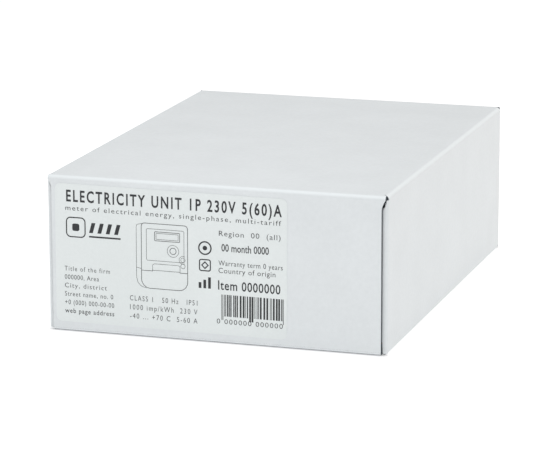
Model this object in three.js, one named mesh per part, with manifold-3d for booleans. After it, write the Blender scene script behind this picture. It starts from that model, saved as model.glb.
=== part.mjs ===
// A smart electric meter packed in its tuck-end carton. Millimetres, +Z up.
// The carton lies flat, the origin is the middle of its underside, and the labelled end faces -Y.
// The meter lies on its back inside, with its terminals towards -Y.
import * as THREE from "three";
import { mergeVertices } from "three/addons/utils/BufferGeometryUtils.js";
import Module from "manifold-3d";

const wasm = await Module();
wasm.setup();

// Driving dimensions
const carton = { width: 150, length: 203, height: 68, board: 1.2, foldRadius: 1.8 };
const gap = 0.3;
const dustFlap = { length: 45, low: 5, high: 64, lowTaperDeg: 15, highTaperDeg: 30 };
const tuckFlap = { length: 11, width: 140, riseDeg: 8, cornerRadius: 6 };
const label = { left: 4.5, bottom: 4.2, width: 102.4, height: 60, cornerRadius: 2.5, thick: 0.1, film: 0.05 };
const tray = { length: 176, beamWidth: 9, beamHeight: 46 };
const booklet = { width: 118, length: 164, thick: 2 };
const meter = { width: 128, length: 175, depth: 58, wall: 2.2, baseDepth: 22, coverLength: 127.7 };
const cornerRadius = { head: 9, terminal: 24, seam: 1.5 };
const faceplate = { left: -50.4, right: 54, bottom: -12.5, top: 73.5, thick: 0.6, radius: 4 };
const faceplateRecess = 1;
const buttonNotch = { radius: 10.5 };
const display = { x: 7.3, y: 54, width: 69, height: 23, glassLow: 50, glassThick: 2.6 };
const clearPane = { low: 55, flangeLow: 54.5, flangeHigh: 55.5, sunk: 0.2 };
const opticalPort = { x: 23.7, y: 17, ringRadius: 16, innerRadius: 8.5, ringThick: 0.7, flange: 1.5 };
const diodes = { spacing: 9, radius: 2.5, low: 45, high: 53 };
const diodeHolder = { width: 18, height: 10, top: 46 };
const button = { x: 51.5, upperY: -5, lowerY: -21.5, radius: 6.1, low: 50, flange: 1.2, stem: 2.5, travel: 1 };
const contact = { size: 7, top: 40, plungerRadius: 1.8, plungerTop: 41.5 };
const lid = { left: -33, right: 43, bottom: -37.5, top: -20.5, radius: 7, footRadius: 1, thick: 1.9 };
const board = { left: -58, right: 58, bottom: -36, top: 82, low: 34, thick: 1.6 };
const post = { x: 52, yLow: -30, yHigh: 76, radius: 3.5, bore: 1.7, boreLow: 12 };
const coverPost = { x: 50, y: -54, top: 30 };
const boardScrew = { headRadius: 2.8, headHeight: 2, shankRadius: 1.4, tip: 24 };
const coverScrew = { holeRadius: 4, headRadius: 3.6, headHeight: 2.6, shankRadius: 1.4, tip: 20 };
const terminal = { pitch: 19, count: 4, front: -76, rear: -44, width: 84, top: 34, axis: 18 };
const clamp = { width: 10.4, height: 12, innerWidth: 8, innerHeight: 9.6, front: -74, rear: -52 };
const terminalScrew = { ys: [-69, -58], hole: 3.3, thread: 2.3, head: 3, shank: 2, sunk: 4, tip: 0.4 };
const bar = { width: 6, thick: 2, slotWidth: 6.6, slotHeight: 2.6, crossLow: -39, crossHigh: -34 };
const shunt = { from: -43.7, to: -35.5 };
const loadSwitch = { xs: [-44, -2], ys: [-35.2, 3], top: 26 };
const switchCoil = { x: -23, y: -16, radius: 9, top: 31 };
const notch = { width: 76, low: 11, high: 28 };
const hook = { width: 24, low: 66, high: 86, recess: 1.2, holeY: 78, holeRadius: 2.6 };
const hookPlate = { height: 18, thick: 0.8 };
const chip = { x: -20, y: 20, size: 14, thick: 1.5 };
const transformer = { xs: [10, 44], ys: [22, 46], low: 11 };
const bobbin = { xs: [15, 39], ys: [18, 50], zs: [14, 30] };
const capacitor = { x: -28, y: 32, radius: 8, low: 8 };
const varistor = { x: -44, y: 54, radius: 7, low: 28 };
const battery = { x: -10, y: 66, radius: 7.2, length: 25, axis: 25 };
const radio = { xs: [-29, 38], ys: [-36, -14], low: 46, thick: 1.2 };
const radioShield = { xs: [-10, 26], ys: [-32, -18], height: 3.5 };

// Places that follow from them
const halfWidth = carton.width / 2;
const endY = -carton.length / 2;
const meterBack = carton.board * 2 + gap * 2;
const meterTop = meter.length / 2;
const coverBottom = meterTop - meter.coverLength;
const boardTop = board.low + board.thick;
const terminalXs = [...Array(terminal.count).keys()].map((i) => (i - 1.5) * terminal.pitch);
const postPlaces = [-post.x, post.x].flatMap((x) => [post.yLow, post.yHigh].map((y) => [x, y]));
const coverScrewPlaces = [-coverPost.x, coverPost.x].map((x) => [x, coverPost.y]);
const frontWall = meter.depth - meter.wall;
const coverFrom = meter.baseDepth + gap;

const part = new THREE.Group();

function finish(color, roughness, metalness = 0, opacity = 1) {
  return { color, roughness, metalness, opacity, transparent: opacity < 1 };
}
const finishes = {
  carton: finish(0xe3e7e9, 0.6),
  label: finish(0xe6eae8, 0.5),
  kraft: finish(0xb98f62, 0.85),
  paper: finish(0xf0efea, 0.7),
  housing: finish(0xe2e3df, 0.45),
  cover: finish(0xd3d6d4, 0.45),
  faceplate: finish(0xc9cdce, 0.4),
  clear: finish(0xdfe8ea, 0.05, 0, 0.35),
  display: finish(0x8c9a86, 0.2),
  blackPlastic: finish(0x2a2b2d, 0.5),
  greyPlastic: finish(0x6d7073, 0.5),
  steel: finish(0xb4b6b8, 0.3, 1),
  brass: finish(0xc2a05a, 0.3, 1),
  copper: finish(0xb87450, 0.3, 1),
  circuit: finish(0x1f5a3a, 0.5),
  blue: finish(0x2f62a8, 0.4),
};

function addPart(name, geometry, finishName) {
  const mesh = new THREE.Mesh(geometry, new THREE.MeshStandardMaterial(finishes[finishName]));
  mesh.name = name;
  part.add(mesh);
}

// Solids: every join and cut goes through these three
function toSolid(geometry) {
  const bare = new THREE.BufferGeometry();
  bare.setAttribute("position", geometry.getAttribute("position").clone());
  bare.setIndex(geometry.index ? geometry.index.clone() : null);
  const merged = mergeVertices(bare, 1e-4);
  const vertProperties = new Float32Array(merged.attributes.position.array);
  const triVerts = new Uint32Array(merged.index.array);
  return new wasm.Manifold(new wasm.Mesh({ numProp: 3, vertProperties, triVerts }));
}

function toGeometry(solid) {
  const { vertProperties, triVerts } = solid.getMesh();
  const geometry = new THREE.BufferGeometry();
  geometry.setAttribute("position", new THREE.BufferAttribute(vertProperties, 3));
  geometry.setIndex(new THREE.BufferAttribute(triVerts, 1));
  return geometry;
}

function shape(added, removed = []) {
  let solid = toSolid(added[0]);
  for (const geometry of added.slice(1)) solid = solid.add(toSolid(geometry));
  for (const geometry of removed) solid = solid.subtract(toSolid(geometry));
  return toGeometry(solid);
}

// Building blocks in carton axes
function block(xs, ys, zs) {
  const geometry = new THREE.BoxGeometry(xs[1] - xs[0], ys[1] - ys[0], zs[1] - zs[0]);
  return geometry.translate((xs[0] + xs[1]) / 2, (ys[0] + ys[1]) / 2, (zs[0] + zs[1]) / 2);
}

// A rectangle whose corner radii run anticlockwise from the lower left
function roundedRect(xs, ys, radii) {
  const [lowLeft, lowRight, highRight, highLeft] = radii;
  const outline = new THREE.Shape();
  outline.moveTo(xs[0] + lowLeft, ys[0]);
  outline.lineTo(xs[1] - lowRight, ys[0]);
  outline.absarc(xs[1] - lowRight, ys[0] + lowRight, lowRight, -Math.PI / 2, 0);
  outline.lineTo(xs[1], ys[1] - highRight);
  outline.absarc(xs[1] - highRight, ys[1] - highRight, highRight, 0, Math.PI / 2);
  outline.lineTo(xs[0] + highLeft, ys[1]);
  outline.absarc(xs[0] + highLeft, ys[1] - highLeft, highLeft, Math.PI / 2, Math.PI);
  outline.lineTo(xs[0], ys[0] + lowLeft);
  outline.absarc(xs[0] + lowLeft, ys[0] + lowLeft, lowLeft, Math.PI, Math.PI * 1.5);
  return outline;
}

function prism(outline, zs, curveSegments = 5) {
  const settings = { depth: zs[1] - zs[0], bevelEnabled: false, curveSegments };
  return new THREE.ExtrudeGeometry(outline, settings).translate(0, 0, zs[0]);
}

// The same prism standing on the XZ plane: its outline's second axis is +Z
function uprightPrism(outline, ys, curveSegments = 5) {
  return prism(outline, [-ys[1], -ys[0]], curveSegments).rotateX(Math.PI / 2);
}

function plate(xs, ys, zs, radius) {
  return prism(roundedRect(xs, ys, [radius, radius, radius, radius]), zs);
}

function rod(x, y, radius, zs, sides = 20) {
  const geometry = new THREE.CylinderGeometry(radius, radius, zs[1] - zs[0], sides);
  return geometry.rotateX(Math.PI / 2).translate(x, y, (zs[0] + zs[1]) / 2);
}

// Depths inside the meter are measured from its back
function depth(from, to) {
  return [meterBack + from, meterBack + to];
}

function around(x, y, width, height) {
  return [[x - width / 2, x + width / 2], [y - height / 2, y + height / 2]];
}

// The carton's four long panels: a tube with a lip at each fold where a closure hangs
function addSleeve() {
  const { board: t, foldRadius: r, height } = carton;
  const outer = roundedRect([-halfWidth, halfWidth], [0, height], [r, r, r, r]);
  const inner = roundedRect([t - halfWidth, halfWidth - t], [t, height - t], Array(4).fill(r - t));
  const tubeEnd = endY + t * 2 + gap * 2;
  const lipX = [-halfWidth + r, halfWidth - r];
  const lips = [-1, 1].flatMap((side) => {
    const topLip = [side * (endY + t + gap + 0.1), side * (tubeEnd + 1)].sort((a, b) => a - b);
    const bottomLip = [side * (endY + t), side * (tubeEnd + 1)].sort((a, b) => a - b);
    return [block(lipX, topLip, [height - t, height]), block(lipX, bottomLip, [0, t])];
  });
  const tube = uprightPrism(outer, [tubeEnd, -tubeEnd]);
  const bore = uprightPrism(inner, [tubeEnd - 5, 5 - tubeEnd]);
  addPart("carton_sleeve", shape([shape([tube], [bore]), ...lips]), "carton");
}

function dustFlapOutline() {
  const rise = dustFlap.length * Math.tan(THREE.MathUtils.degToRad(dustFlap.lowTaperDeg));
  const fall = dustFlap.length * Math.tan(THREE.MathUtils.degToRad(dustFlap.highTaperDeg));
  const free = halfWidth - dustFlap.length;
  return new THREE.Shape([
    new THREE.Vector2(halfWidth, dustFlap.low),
    new THREE.Vector2(halfWidth, dustFlap.high),
    new THREE.Vector2(free, dustFlap.high - fall),
    new THREE.Vector2(free, dustFlap.low + rise),
  ]);
}

function tuckFlapGeometry() {
  const { length, width, riseDeg, cornerRadius: r } = tuckFlap;
  const outline = roundedRect([-width / 2, width / 2], [0, length], [0.1, 0.1, r, r]);
  const flap = prism(outline, [0, carton.board]).rotateX(THREE.MathUtils.degToRad(riseDeg));
  const lift = carton.board + gap;
  return flap.translate(0, endY + carton.board + gap + 0.2, lift);
}

// One end is made facing -Y, and the other is the same turned half round
function addEnd(prefix, turn) {
  const t = carton.board;
  const closureX = halfWidth - gap - 0.1;
  const closure = block([-closureX, closureX], [endY, endY + t], [t + gap, carton.height]);
  const flapY = [endY + t + gap, endY + t * 2 + gap];
  const rightFlap = uprightPrism(dustFlapOutline(), flapY);
  const leftFlap = uprightPrism(dustFlapOutline(), [-flapY[1], -flapY[0]]).rotateZ(Math.PI);
  const turnedNames = turn ? ["left", "right"] : ["right", "left"];
  addPart(`${prefix}_closure`, closure.rotateZ(turn), "carton");
  addPart(`${prefix}_tuck`, tuckFlapGeometry().rotateZ(turn), "carton");
  addPart(`${prefix}_${turnedNames[0]}_dust_flap`, rightFlap.rotateZ(turn), "carton");
  addPart(`${prefix}_${turnedNames[1]}_dust_flap`, leftFlap.rotateZ(turn), "carton");
}

function addLabel() {
  const left = label.left - halfWidth;
  const r = label.cornerRadius;
  const zs = [label.bottom, label.bottom + label.height];
  const outline = roundedRect([left, left + label.width], zs, [r, r, r, r]);
  const face = endY - label.film;
  addPart("product_label", uprightPrism(outline, [face - label.thick, face], 4), "label");
}

// A folded board tray: a floor with a hollow beam along each side
function addTray() {
  const t = carton.board;
  const low = t + gap;
  const outerX = halfWidth - t - gap;
  const innerX = outerX - tray.beamWidth;
  const ys = [-tray.length / 2, tray.length / 2];
  const holeYs = [ys[0] - 1, ys[1] + 1];
  const floor = block([-innerX - t, innerX + t], ys, [low, low + t]);
  const beams = [-1, 1].map((side) => {
    const xs = [side * innerX, side * outerX].sort((a, b) => a - b);
    const beam = block(xs, ys, [low, low + tray.beamHeight]);
    return shape([beam], [block([xs[0] + t, xs[1] - t], holeYs, [low + t, low + tray.beamHeight - t])]);
  });
  addPart("insert_tray", shape([...beams, floor]), "kraft");
}

function addBooklet() {
  const [xs, ys] = around(0, 0, booklet.width, booklet.length);
  const low = meter.depth + gap;
  addPart("instruction_booklet", block(xs, ys, depth(low, low + booklet.thick)), "paper");
}

// The meter's outline, inset by a wall for its inside
function meterOutline(ys, radii, inset = 0) {
  const xs = [inset - meter.width / 2, meter.width / 2 - inset];
  const inner = radii.map((radius) => Math.max(radius - inset, 0.3));
  return roundedRect(xs, [ys[0] + inset, ys[1] - inset], inner);
}

function cableNotch(zs) {
  const half = notch.width / 2;
  return block([-half, half], [-meterTop - 1, -meterTop + meter.wall + 1], zs);
}

function addMeterBase() {
  const { head, terminal: foot } = cornerRadius;
  const radii = [foot, foot, head, head];
  const ys = [-meterTop, meterTop];
  const outer = prism(meterOutline(ys, radii), depth(0, meter.baseDepth));
  const inner = prism(meterOutline(ys, radii, meter.wall), depth(meter.wall, meter.baseDepth + 1));
  const boardPosts = postPlaces.map(([x, y]) => rod(x, y, post.radius, depth(1, board.low - gap)));
  const coverPosts = coverScrewPlaces.map(([x, y]) => rod(x, y, post.radius, depth(1, coverPost.top)));
  const bored = [...postPlaces, ...coverScrewPlaces];
  const bores = bored.map(([x, y]) => rod(x, y, post.bore, depth(post.boreLow, board.low), 12));
  const hookRecess = block([-hook.width / 2, hook.width / 2], [hook.low, hook.high], depth(-1, hook.recess));
  const shell = shape([outer], [inner, hookRecess, cableNotch(depth(notch.low, meter.baseDepth + 1))]);
  addPart("meter_base", shape([shell, ...boardPosts, ...coverPosts], bores), "housing");
}

function addHangingBracket() {
  const half = hook.width / 2 - gap;
  const low = hook.low + gap;
  const sheet = plate([-half, half], [low, low + hookPlate.height], depth(0.1, 0.1 + hookPlate.thick), 2);
  addPart("hanging_bracket", shape([sheet], [rod(0, hook.holeY, hook.holeRadius, depth(-1, 2))]), "steel");
}

function faceplateOutline(grow) {
  const { left, right, bottom, top, radius } = faceplate;
  return roundedRect([left - grow, right + grow], [bottom - grow, top + grow], Array(4).fill(radius));
}

function lidOutline(grow) {
  const { left, right, bottom, top, radius, footRadius } = lid;
  const radii = [footRadius, footRadius, radius, radius];
  return roundedRect([left - grow, right + grow], [bottom - grow, top + grow], radii);
}

function notchRod(radius, zs) {
  return rod(button.x, button.upperY, radius, zs, 28);
}

function addFrontCover() {
  const { head, seam } = cornerRadius;
  const radii = [seam, seam, head, head];
  const ys = [coverBottom, meterTop];
  const through = depth(frontWall - 1, meter.depth + 1);
  const outer = prism(meterOutline(ys, radii), depth(coverFrom, meter.depth));
  const inner = prism(meterOutline(ys, radii, meter.wall), depth(coverFrom - 1, frontWall));
  const recess = prism(faceplateOutline(gap), depth(meter.depth - faceplateRecess, meter.depth + 1));
  const recessLeft = shape([recess], [notchRod(buttonNotch.radius - gap, through)]);
  const [windowX, windowY] = around(display.x, display.y, display.width, display.height);
  const holes = [
    block(windowX, windowY, through),
    rod(opticalPort.x, opticalPort.y, opticalPort.innerRadius + gap, through, 28),
    rod(button.x, button.upperY, button.radius + gap, through),
    rod(button.x, button.lowerY, button.radius + gap, through),
    prism(lidOutline(gap), through),
  ];
  addPart("front_cover", shape([outer], [inner, recessLeft, ...holes]), "housing");
}

function addFaceplate() {
  const low = meter.depth - faceplateRecess + gap;
  const through = depth(low - 1, meter.depth + 1);
  const [windowX, windowY] = around(display.x, display.y, display.width, display.height);
  const cuts = [
    block(windowX, windowY, through),
    rod(opticalPort.x, opticalPort.y, opticalPort.ringRadius + gap, through, 28),
    notchRod(buttonNotch.radius, through),
  ];
  const sheet = prism(faceplateOutline(0), depth(low, low + faceplate.thick));
  addPart("faceplate", shape([sheet], cuts), "faceplate");
}

function addDisplay() {
  const { x, y, width, height, glassLow, glassThick } = display;
  const [paneX, paneY] = around(x, y, width - gap * 2, height - gap * 2);
  const [flangeX, flangeY] = around(x, y, width + 3, height + 3);
  const pane = block(paneX, paneY, depth(clearPane.low, meter.depth - clearPane.sunk));
  const flange = block(flangeX, flangeY, depth(clearPane.flangeLow, clearPane.flangeHigh));
  addPart("lcd_window", shape([pane, flange]), "clear");
  const [outerX, outerY] = around(x, y, width + 4, height + 4);
  const [innerX, innerY] = around(x, y, width + 1, height + 1);
  const frame = block(outerX, outerY, depth(boardTop + gap, clearPane.flangeLow - gap));
  addPart("lcd_frame", shape([frame], [block(innerX, innerY, depth(board.low, meter.depth))]), "greyPlastic");
  const [panelX, panelY] = around(x, y, width, height);
  addPart("lcd_panel", block(panelX, panelY, depth(glassLow, glassLow + glassThick)), "display");
}

function addOpticalPort() {
  const { x, y, ringRadius, innerRadius, ringThick, flange: rim } = opticalPort;
  const bore = rod(x, y, innerRadius + gap, depth(board.low, meter.depth + 1), 28);
  const ring = rod(x, y, ringRadius, depth(meter.depth - ringThick, meter.depth), 28);
  addPart("optical_port_ring", shape([ring], [bore]), "steel");
  const lens = rod(x, y, innerRadius, depth(clearPane.low, meter.depth - clearPane.sunk), 28);
  const flange = rod(x, y, innerRadius + rim, depth(clearPane.flangeLow, clearPane.flangeHigh), 28);
  addPart("optical_port_lens", shape([lens, flange]), "clear");
  const places = [x - diodes.spacing / 2, x + diodes.spacing / 2];
  const pair = places.map((at) => rod(at, y, diodes.radius, depth(diodes.low, diodes.high), 12));
  const [holderX, holderY] = around(x, y, diodeHolder.width, diodeHolder.height);
  const holder = plate(holderX, holderY, depth(boardTop + gap, diodeHolder.top), 2);
  addPart("optical_transceiver", shape([holder, ...pair]), "blackPlastic");
}

// A cap with a flange behind the front wall, and a stem that stops one travel above its contact
function addButton(name, y) {
  const { x, radius, low, travel, flange: rim } = button;
  const stemLow = contact.plungerTop + travel + gap;
  const cap = rod(x, y, radius, depth(low, meter.depth - clearPane.sunk));
  const flange = rod(x, y, radius + rim, depth(frontWall - gap - 2, frontWall - gap));
  const stem = rod(x, y, button.stem, depth(stemLow, low + 0.5), 12);
  addPart(`${name}_button`, shape([cap, flange, stem]), "greyPlastic");
  const [xs, ys] = around(x, y, contact.size, contact.size);
  const body = block(xs, ys, depth(boardTop + gap, contact.top));
  const plunger = rod(x, y, contact.plungerRadius, depth(contact.top - 1, contact.plungerTop), 12);
  addPart(`${name}_switch`, shape([body, plunger]), "blackPlastic");
}

function addCompartmentLid() {
  const top = meter.depth - 0.1;
  addPart("compartment_lid", prism(lidOutline(0), depth(top - lid.thick, top)), "housing");
}

function addTerminalCover() {
  const { terminal: foot, seam } = cornerRadius;
  const radii = [foot, foot, seam, seam];
  const ys = [-meterTop, coverBottom - gap];
  const front = meter.depth - 2;
  const outer = prism(meterOutline(ys, radii), depth(coverFrom, front));
  const hollowYs = [ys[0], ys[1] + meter.wall * 3];
  const inner = prism(meterOutline(hollowYs, radii, meter.wall), depth(coverFrom - 1, front - meter.wall));
  const holeZs = depth(front - 3, front + 1);
  const holes = coverScrewPlaces.map(([x, y]) => rod(x, y, coverScrew.holeRadius, holeZs));
  const cables = cableNotch(depth(coverFrom - 1, notch.high));
  addPart("terminal_cover", shape([outer], [inner, cables, ...holes]), "cover");
  coverScrewPlaces.forEach(([x, y], i) => {
    const { headRadius, headHeight, shankRadius, tip } = coverScrew;
    const head = rod(x, y, headRadius, depth(front - headHeight, front));
    const shank = rod(x, y, shankRadius, depth(tip, front - 1), 10);
    addPart(`terminal_cover_screw_${i + 1}`, shape([head, shank]), "steel");
  });
}

function addTerminals() {
  const { front, rear, width, top, axis } = terminal;
  const zs = depth(axis - clamp.height / 2, axis + clamp.height / 2);
  const innerZs = depth(axis - clamp.innerHeight / 2, axis + clamp.innerHeight / 2);
  const slotZs = depth(axis - bar.slotHeight / 2, axis + bar.slotHeight / 2);
  const cageTop = axis + clamp.height / 2;
  const tip = axis + clamp.innerHeight / 2 - terminalScrew.tip;
  const cuts = [];
  terminalXs.forEach((x, i) => {
    const [pocketX] = around(x, 0, clamp.width + gap * 2, 0);
    const [cageX] = around(x, 0, clamp.width, 0);
    const [boreX] = around(x, 0, clamp.innerWidth, 0);
    const [slotX] = around(x, 0, bar.slotWidth, 0);
    cuts.push(block(pocketX, [front - 1, clamp.rear + gap], [zs[0] - gap, zs[1] + gap]));
    cuts.push(block(slotX, [clamp.rear, rear + 1], slotZs));
    const bores = [block(boreX, [clamp.front - 1, clamp.rear + 1], innerZs)];
    terminalScrew.ys.forEach((y, j) => {
      cuts.push(rod(x, y, terminalScrew.hole, depth(axis + 4, top + 1), 14));
      bores.push(rod(x, y, terminalScrew.thread, depth(axis, top), 12));
      const headTop = top - terminalScrew.sunk;
      const head = rod(x, y, terminalScrew.head, depth(cageTop + gap, headTop), 14);
      const shank = rod(x, y, terminalScrew.shank, depth(tip, headTop - 1), 12);
      addPart(`terminal_screw_${i + 1}${"ab"[j]}`, shape([head, shank]), "steel");
    });
    const cage = block(cageX, [clamp.front, clamp.rear], zs);
    addPart(`terminal_clamp_${i + 1}`, shape([cage], bores), "brass");
  });
  const body = block([-width / 2, width / 2], [front, rear], depth(meter.wall + gap, top));
  addPart("terminal_block", shape([body], cuts), "blackPlastic");
}

// Incoming live passes the shunt to the load switch; the neutral bar joins its two terminals
function addCurrentPath() {
  const [liveIn, liveOut, neutralIn, neutralOut] = terminalXs;
  const zs = depth(terminal.axis - bar.thick / 2, terminal.axis + bar.thick / 2);
  const from = clamp.rear + gap * 2;
  const half = bar.width / 2;
  const strip = (x, ys) => block([x - half, x + half], ys, zs);
  addPart("live_in_bar", strip(liveIn, [from, shunt.from - gap]), "copper");
  addPart("live_out_bar", strip(liveOut, [from, shunt.to]), "copper");
  const neutralEnds = [neutralIn, neutralOut].map((x) => strip(x, [from, bar.crossHigh - 1]));
  const cross = block([neutralIn - half, neutralOut + half], [bar.crossLow, bar.crossHigh], zs);
  addPart("neutral_bar", shape([...neutralEnds, cross]), "copper");
  addPart("current_shunt", strip(liveIn, [shunt.from, shunt.to]), "steel");
  const box = block(loadSwitch.xs, loadSwitch.ys, depth(meter.wall + gap, loadSwitch.top));
  const coilZs = depth(loadSwitch.top - 1, switchCoil.top);
  const coil = rod(switchCoil.x, switchCoil.y, switchCoil.radius, coilZs);
  addPart("load_switch", shape([box, coil]), "blackPlastic");
}

function addMainBoard() {
  const holes = postPlaces.map(([x, y]) => rod(x, y, post.bore, depth(board.low - 1, boardTop + 1), 12));
  const panel = plate([board.left, board.right], [board.bottom, board.top], depth(board.low, boardTop), 3);
  addPart("main_board", shape([panel], holes), "circuit");
  const seat = boardTop + gap;
  postPlaces.forEach(([x, y], i) => {
    const head = rod(x, y, boardScrew.headRadius, depth(seat, seat + boardScrew.headHeight), 14);
    const shank = rod(x, y, boardScrew.shankRadius, depth(boardScrew.tip, seat + 1), 10);
    addPart(`board_screw_${i + 1}`, shape([head, shank]), "steel");
  });
  const [chipX, chipY] = around(chip.x, chip.y, chip.size, chip.size);
  addPart("metering_chip", block(chipX, chipY, depth(seat, seat + chip.thick)), "blackPlastic");
}

function addSupply() {
  const underBoard = board.low - gap;
  const core = block(transformer.xs, transformer.ys, depth(transformer.low, underBoard));
  const coil = block(bobbin.xs, bobbin.ys, depth(...bobbin.zs));
  addPart("power_transformer", shape([core, coil]), "blackPlastic");
  const can = rod(capacitor.x, capacitor.y, capacitor.radius, depth(capacitor.low, underBoard));
  addPart("supply_capacitor", can, "blackPlastic");
  const disc = rod(varistor.x, varistor.y, varistor.radius, depth(varistor.low, underBoard));
  addPart("surge_varistor", disc, "blue");
  const cell = new THREE.CylinderGeometry(battery.radius, battery.radius, battery.length, 20);
  const lying = cell.rotateZ(Math.PI / 2).translate(battery.x, battery.y, meterBack + battery.axis);
  addPart("backup_battery", lying, "blue");
}

function addRadio() {
  const shieldLow = radio.low + radio.thick + gap;
  addPart("radio_board", plate(radio.xs, radio.ys, depth(radio.low, radio.low + radio.thick), 2), "circuit");
  const shield = plate(radioShield.xs, radioShield.ys, depth(shieldLow, shieldLow + radioShield.height), 1);
  addPart("radio_shield", shield, "steel");
}

addSleeve();
addEnd("front", 0);
addEnd("back", Math.PI);
addLabel();
addTray();
addBooklet();
addMeterBase();
addHangingBracket();
addFrontCover();
addFaceplate();
addDisplay();
addOpticalPort();
addButton("upper", button.upperY);
addButton("lower", button.lowerY);
addCompartmentLid();
addTerminalCover();
addTerminals();
addCurrentPath();
addMainBoard();
addSupply();
addRadio();

export default part;
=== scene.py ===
# A boxed smart electric meter: a white corrugated carton with a printed end label, closed at rest,
# with the meter, its folded insert and its booklet inside. Metres; sizes in the tables are millimetres.
import math

import bmesh
import bpy
import numpy as np
from mathutils import Matrix, Vector


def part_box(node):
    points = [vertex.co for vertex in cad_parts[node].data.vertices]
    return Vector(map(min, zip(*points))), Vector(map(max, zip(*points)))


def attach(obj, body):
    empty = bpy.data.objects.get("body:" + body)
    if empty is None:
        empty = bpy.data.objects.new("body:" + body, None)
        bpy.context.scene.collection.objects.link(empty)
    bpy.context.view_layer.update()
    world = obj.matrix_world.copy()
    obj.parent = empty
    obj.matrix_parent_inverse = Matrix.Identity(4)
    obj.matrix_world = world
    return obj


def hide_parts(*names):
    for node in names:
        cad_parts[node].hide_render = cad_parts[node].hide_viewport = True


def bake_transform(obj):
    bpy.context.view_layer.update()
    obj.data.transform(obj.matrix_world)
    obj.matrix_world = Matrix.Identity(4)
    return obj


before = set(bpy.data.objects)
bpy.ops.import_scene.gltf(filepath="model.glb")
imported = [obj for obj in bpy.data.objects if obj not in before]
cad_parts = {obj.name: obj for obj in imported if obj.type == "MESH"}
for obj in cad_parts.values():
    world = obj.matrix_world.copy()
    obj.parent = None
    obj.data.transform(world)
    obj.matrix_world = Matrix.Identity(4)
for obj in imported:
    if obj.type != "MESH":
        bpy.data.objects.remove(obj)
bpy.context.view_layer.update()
random = np.random.default_rng(11)
mm = 0.001
carton = {"width": 150, "height": 68, "fold": 1.8}
frontY = 101.5
board = {"thick": 1.2, "liner": 0.24, "medium": 0.2, "pitch": 2.4, "perWave": 8}


# A hex colour as linear light: c / 12.92, or ((c + 0.055) / 1.055)^2.4 above the knee
def linear(hexText):
    parts = np.array([int(hexText[i : i + 2], 16) / 255 for i in (1, 3, 5)])
    straight = np.where(parts <= 0.04045, parts / 12.92, ((parts + 0.055) / 1.055) ** 2.4)
    return (*straight.tolist(), 1.0)


# Adds a node with its settings and links, and gives the wanted output
def addNode(tree, kind, inputs, output=0, **settings):
    node = tree.nodes.new("ShaderNode" + kind)
    for name, value in settings.items():
        setattr(node, name, value)
    for name, value in inputs.items():
        if isinstance(value, bpy.types.NodeSocket):
            tree.links.new(value, node.inputs[name])
        else:
            node.inputs[name].default_value = value
    return node.outputs[output]


def addObject(name, data):
    made = bpy.data.objects.new(name, data)
    bpy.context.collection.objects.link(made)
    return made


def startMaterial(name, **values):
    material = bpy.data.materials.new(name)
    material.use_nodes = True
    tree = material.node_tree
    shader = tree.nodes["Principled BSDF"]
    for socket, value in values.items():
        shader.inputs[socket.replace("_", " ")].default_value = value
    return material, tree, shader


# Links sockets to the shader's inputs by name
def join(tree, shader, **sockets):
    for name, socket in sockets.items():
        tree.links.new(socket, shader.inputs[name.replace("_", " ")])


# The sum of two noises, spread about its middle value of 1, blends the shade into the face colour
def mottled(tree, first, second, spread, shade, face):
    both = addNode(tree, "Math", {0: first, 1: second}, operation="ADD")
    limits = {"Value": both, "From Min": 1 - spread, "From Max": 1 + spread}
    ends = {0: addNode(tree, "MapRange", limits), 6: linear(shade), 7: linear(face)}
    return addNode(tree, "Mix", ends, 2, data_type="RGBA")


# White-top liner: clay coat rolled over pale fibre. The flutes print through as faint ribs, the
# coat is slightly mottled, and it takes a soft sheen. A fold may carry painted light where
# | |u - centre| - at | < reach: a painted highlight along a wide fold, painted shade along a tight one.
def coatedLiner(name, paintedFoldLight=None, coat="#e2e6e8", shade="#dde1e3"):
    material, tree, shader = startMaterial(name, Roughness=0.52, Specular_IOR_Level=0.35)
    sheet = addNode(tree, "UVMap", {}, uv_map="sheet")
    place = addNode(tree, "TexCoord", {}, "Object")
    cloud = addNode(tree, "TexNoise", {"Vector": place, "Scale": 1000 / 22, "Detail": 3.0})
    mottle = addNode(tree, "TexNoise", {"Vector": place, "Scale": 1000 / 1.6, "Detail": 4.0})
    colour = mottled(tree, cloud, mottle, 0.3, shade, coat)
    across = addNode(tree, "SeparateXYZ", {"Vector": sheet}, 1)
    # Painted light: near the chosen fold the coat is mixed towards the given colour, a painted highlight on
    # the wide folds and painted shade on the tuck's tight fold
    if paintedFoldLight:
        along = addNode(tree, "SeparateXYZ", {"Vector": sheet}, paintedFoldLight["axis"])
        for step in (paintedFoldLight["centre"], paintedFoldLight["at"]):
            along = addNode(tree, "Math", {0: along, 1: step * mm}, operation="SUBTRACT")
            along = addNode(tree, "Math", {0: along}, operation="ABSOLUTE")
        limits = {"From Min": paintedFoldLight["reach"] * paintedFoldLight["soft"] * mm, "From Max": paintedFoldLight["reach"] * mm}
        limits.update({"Value": along, "To Min": 1.0, "To Max": 0.0})
        ends = {0: addNode(tree, "MapRange", limits), 6: colour, 7: linear(paintedFoldLight["colour"])}
        colour = addNode(tree, "Mix", ends, 2, data_type="RGBA")
    wave = 2 * math.pi / (board["pitch"] * mm)
    turns = addNode(tree, "Math", {0: across, 1: wave}, operation="MULTIPLY")
    rib = addNode(tree, "Math", {0: turns}, operation="SINE")
    grain = addNode(tree, "TexNoise", {"Vector": place, "Scale": 1000 / 0.9, "Detail": 2.0})
    relief = addNode(tree, "Math", {0: rib, 1: 0.35, 2: grain}, operation="MULTIPLY_ADD")
    bump = addNode(tree, "Bump", {"Height": relief, "Strength": 0.35, "Distance": 0.02 * mm})
    join(tree, shader, Base_Color=colour, Normal=bump)
    return material


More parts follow.
